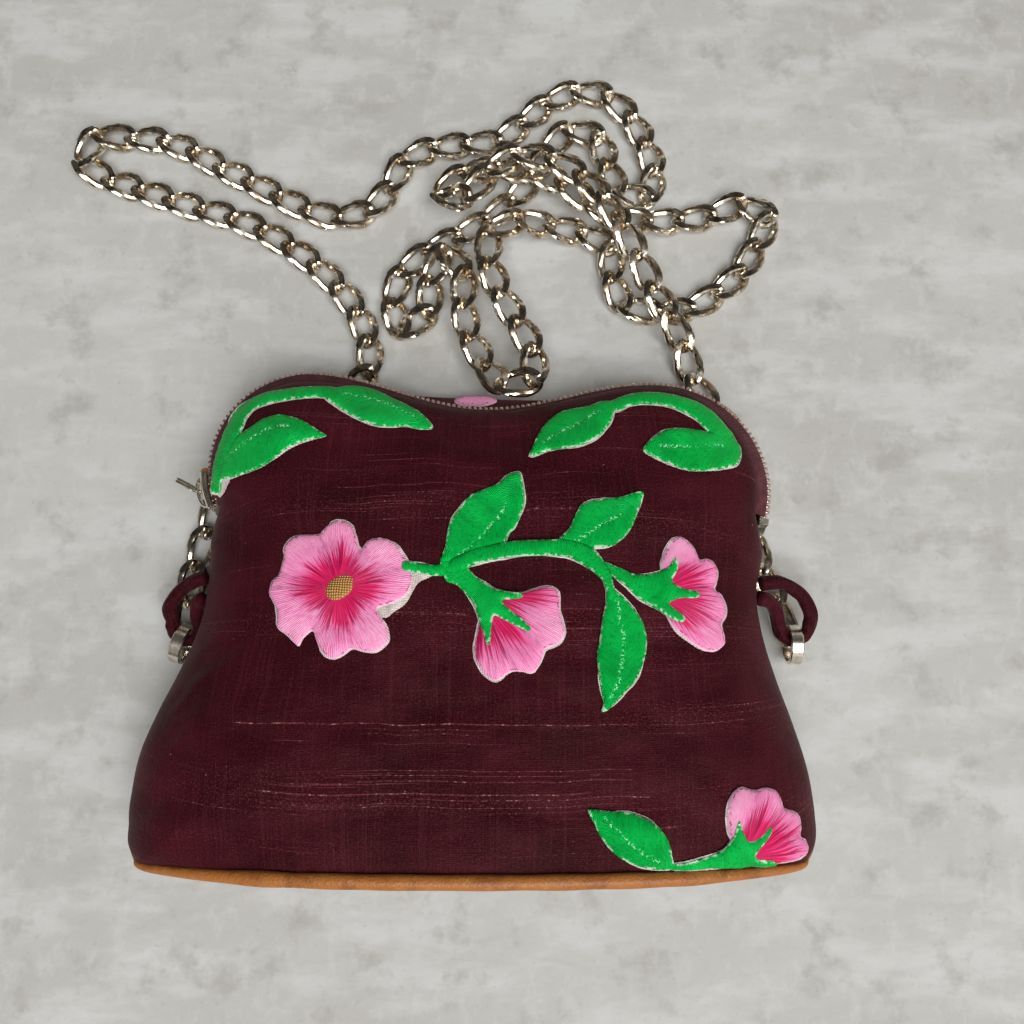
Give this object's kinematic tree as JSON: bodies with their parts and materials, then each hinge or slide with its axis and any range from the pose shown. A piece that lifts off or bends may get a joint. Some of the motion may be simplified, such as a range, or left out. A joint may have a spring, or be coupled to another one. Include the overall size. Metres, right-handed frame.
{
  "type": "crossbody bag",
  "caption": "Small padded cloth pouch with a domed front, a wavy zipped top, a piped base panel, embroidered flower sprays and a long curb chain strap, lying on its back.",
  "frame": {"origin": "centre of the flat area of the back panel that the bag lies on", "axes": "+X to the right seen from the front, +Y from the base to the zipped top, +Z from the back panel to the front panel"},
  "size_m": [0.255, 0.2766, 0.0526],
  "materials": {
    "slub_silk": "woven slub cloth over thin wadding, low sheen",
    "lining_cloth": "plain woven, matte",
    "zip_tape": "plain woven tape, matte",
    "tan_leather": "smooth, semi-matte, stitched",
    "green_thread": "satin stitched thread",
    "pink_thread": "satin stitched thread",
    "zip_metal": "polished, nickel coloured",
    "nickel": "polished, nickel coloured"
  },
  "bodies": {
    "bag": {"front_panel": "slub_silk", "back_panel": "slub_silk", "lining_front": "lining_cloth", "lining_back": "lining_cloth", "base_panel": "slub_silk", "lining_base": "lining_cloth", "base_piping_front": "tan_leather", "base_piping_back": "tan_leather", "zip_tape_front": "zip_tape", "zip_tape_back": "zip_tape", "zip_teeth_front": "zip_metal", "zip_teeth_back": "zip_metal", "zip_stop_left_front": "zip_metal", "zip_stop_left_back": "zip_metal", "zip_stop_right": "zip_metal", "zip_end_tab": "tan_leather", "side_loop_left": "slub_silk", "side_loop_right": "slub_silk", "strap_end_link_left": "nickel", "strap_chain_1": "nickel", "strap_chain_2": "nickel", "strap_chain_3": "nickel", "strap_chain_4": "nickel", "strap_chain_5": "nickel", "strap_chain_6": "nickel", "strap_chain_7": "nickel", "strap_end_link_right": "nickel", "spray_top_left": "green_thread", "spray_top_right": "green_thread", "spray_centre": "green_thread", "spray_bottom_right": "green_thread", "flower_back": "pink_thread"},
    "slider": {"zip_slider": "nickel"},
    "pull": {"zip_pull": "nickel"},
    "ring_left": {"side_ring_left": "nickel"},
    "ring_right": {"side_ring_right": "nickel"}
  },
  "joints": [
    {"name": "slider_travel", "type": "hinge", "parent": "bag", "child": "slider", "pos_m": [-0.0545, 0.0463, 0.019], "axis": [0, 0, -1], "range_deg": [0, 92]},
    {"name": "pull_swing", "type": "hinge", "parent": "slider", "child": "pull", "pos_m": [-0.08806, 0.03793, 0.019], "axis": [0, 0, 1], "range_deg": [-20, 100]},
    {"name": "ring_left_swing", "type": "hinge", "parent": "bag", "child": "ring_left", "pos_m": [-0.09471, -0.00815, 0.009], "axis": [-0.9474, 0.3201, 0], "range_deg": [-10, 15]},
    {"name": "ring_right_swing", "type": "hinge", "parent": "bag", "child": "ring_right", "pos_m": [0.1014, -0.0084, 0.009], "axis": [1, 0, 0], "range_deg": [-15, 15]}
  ]
}
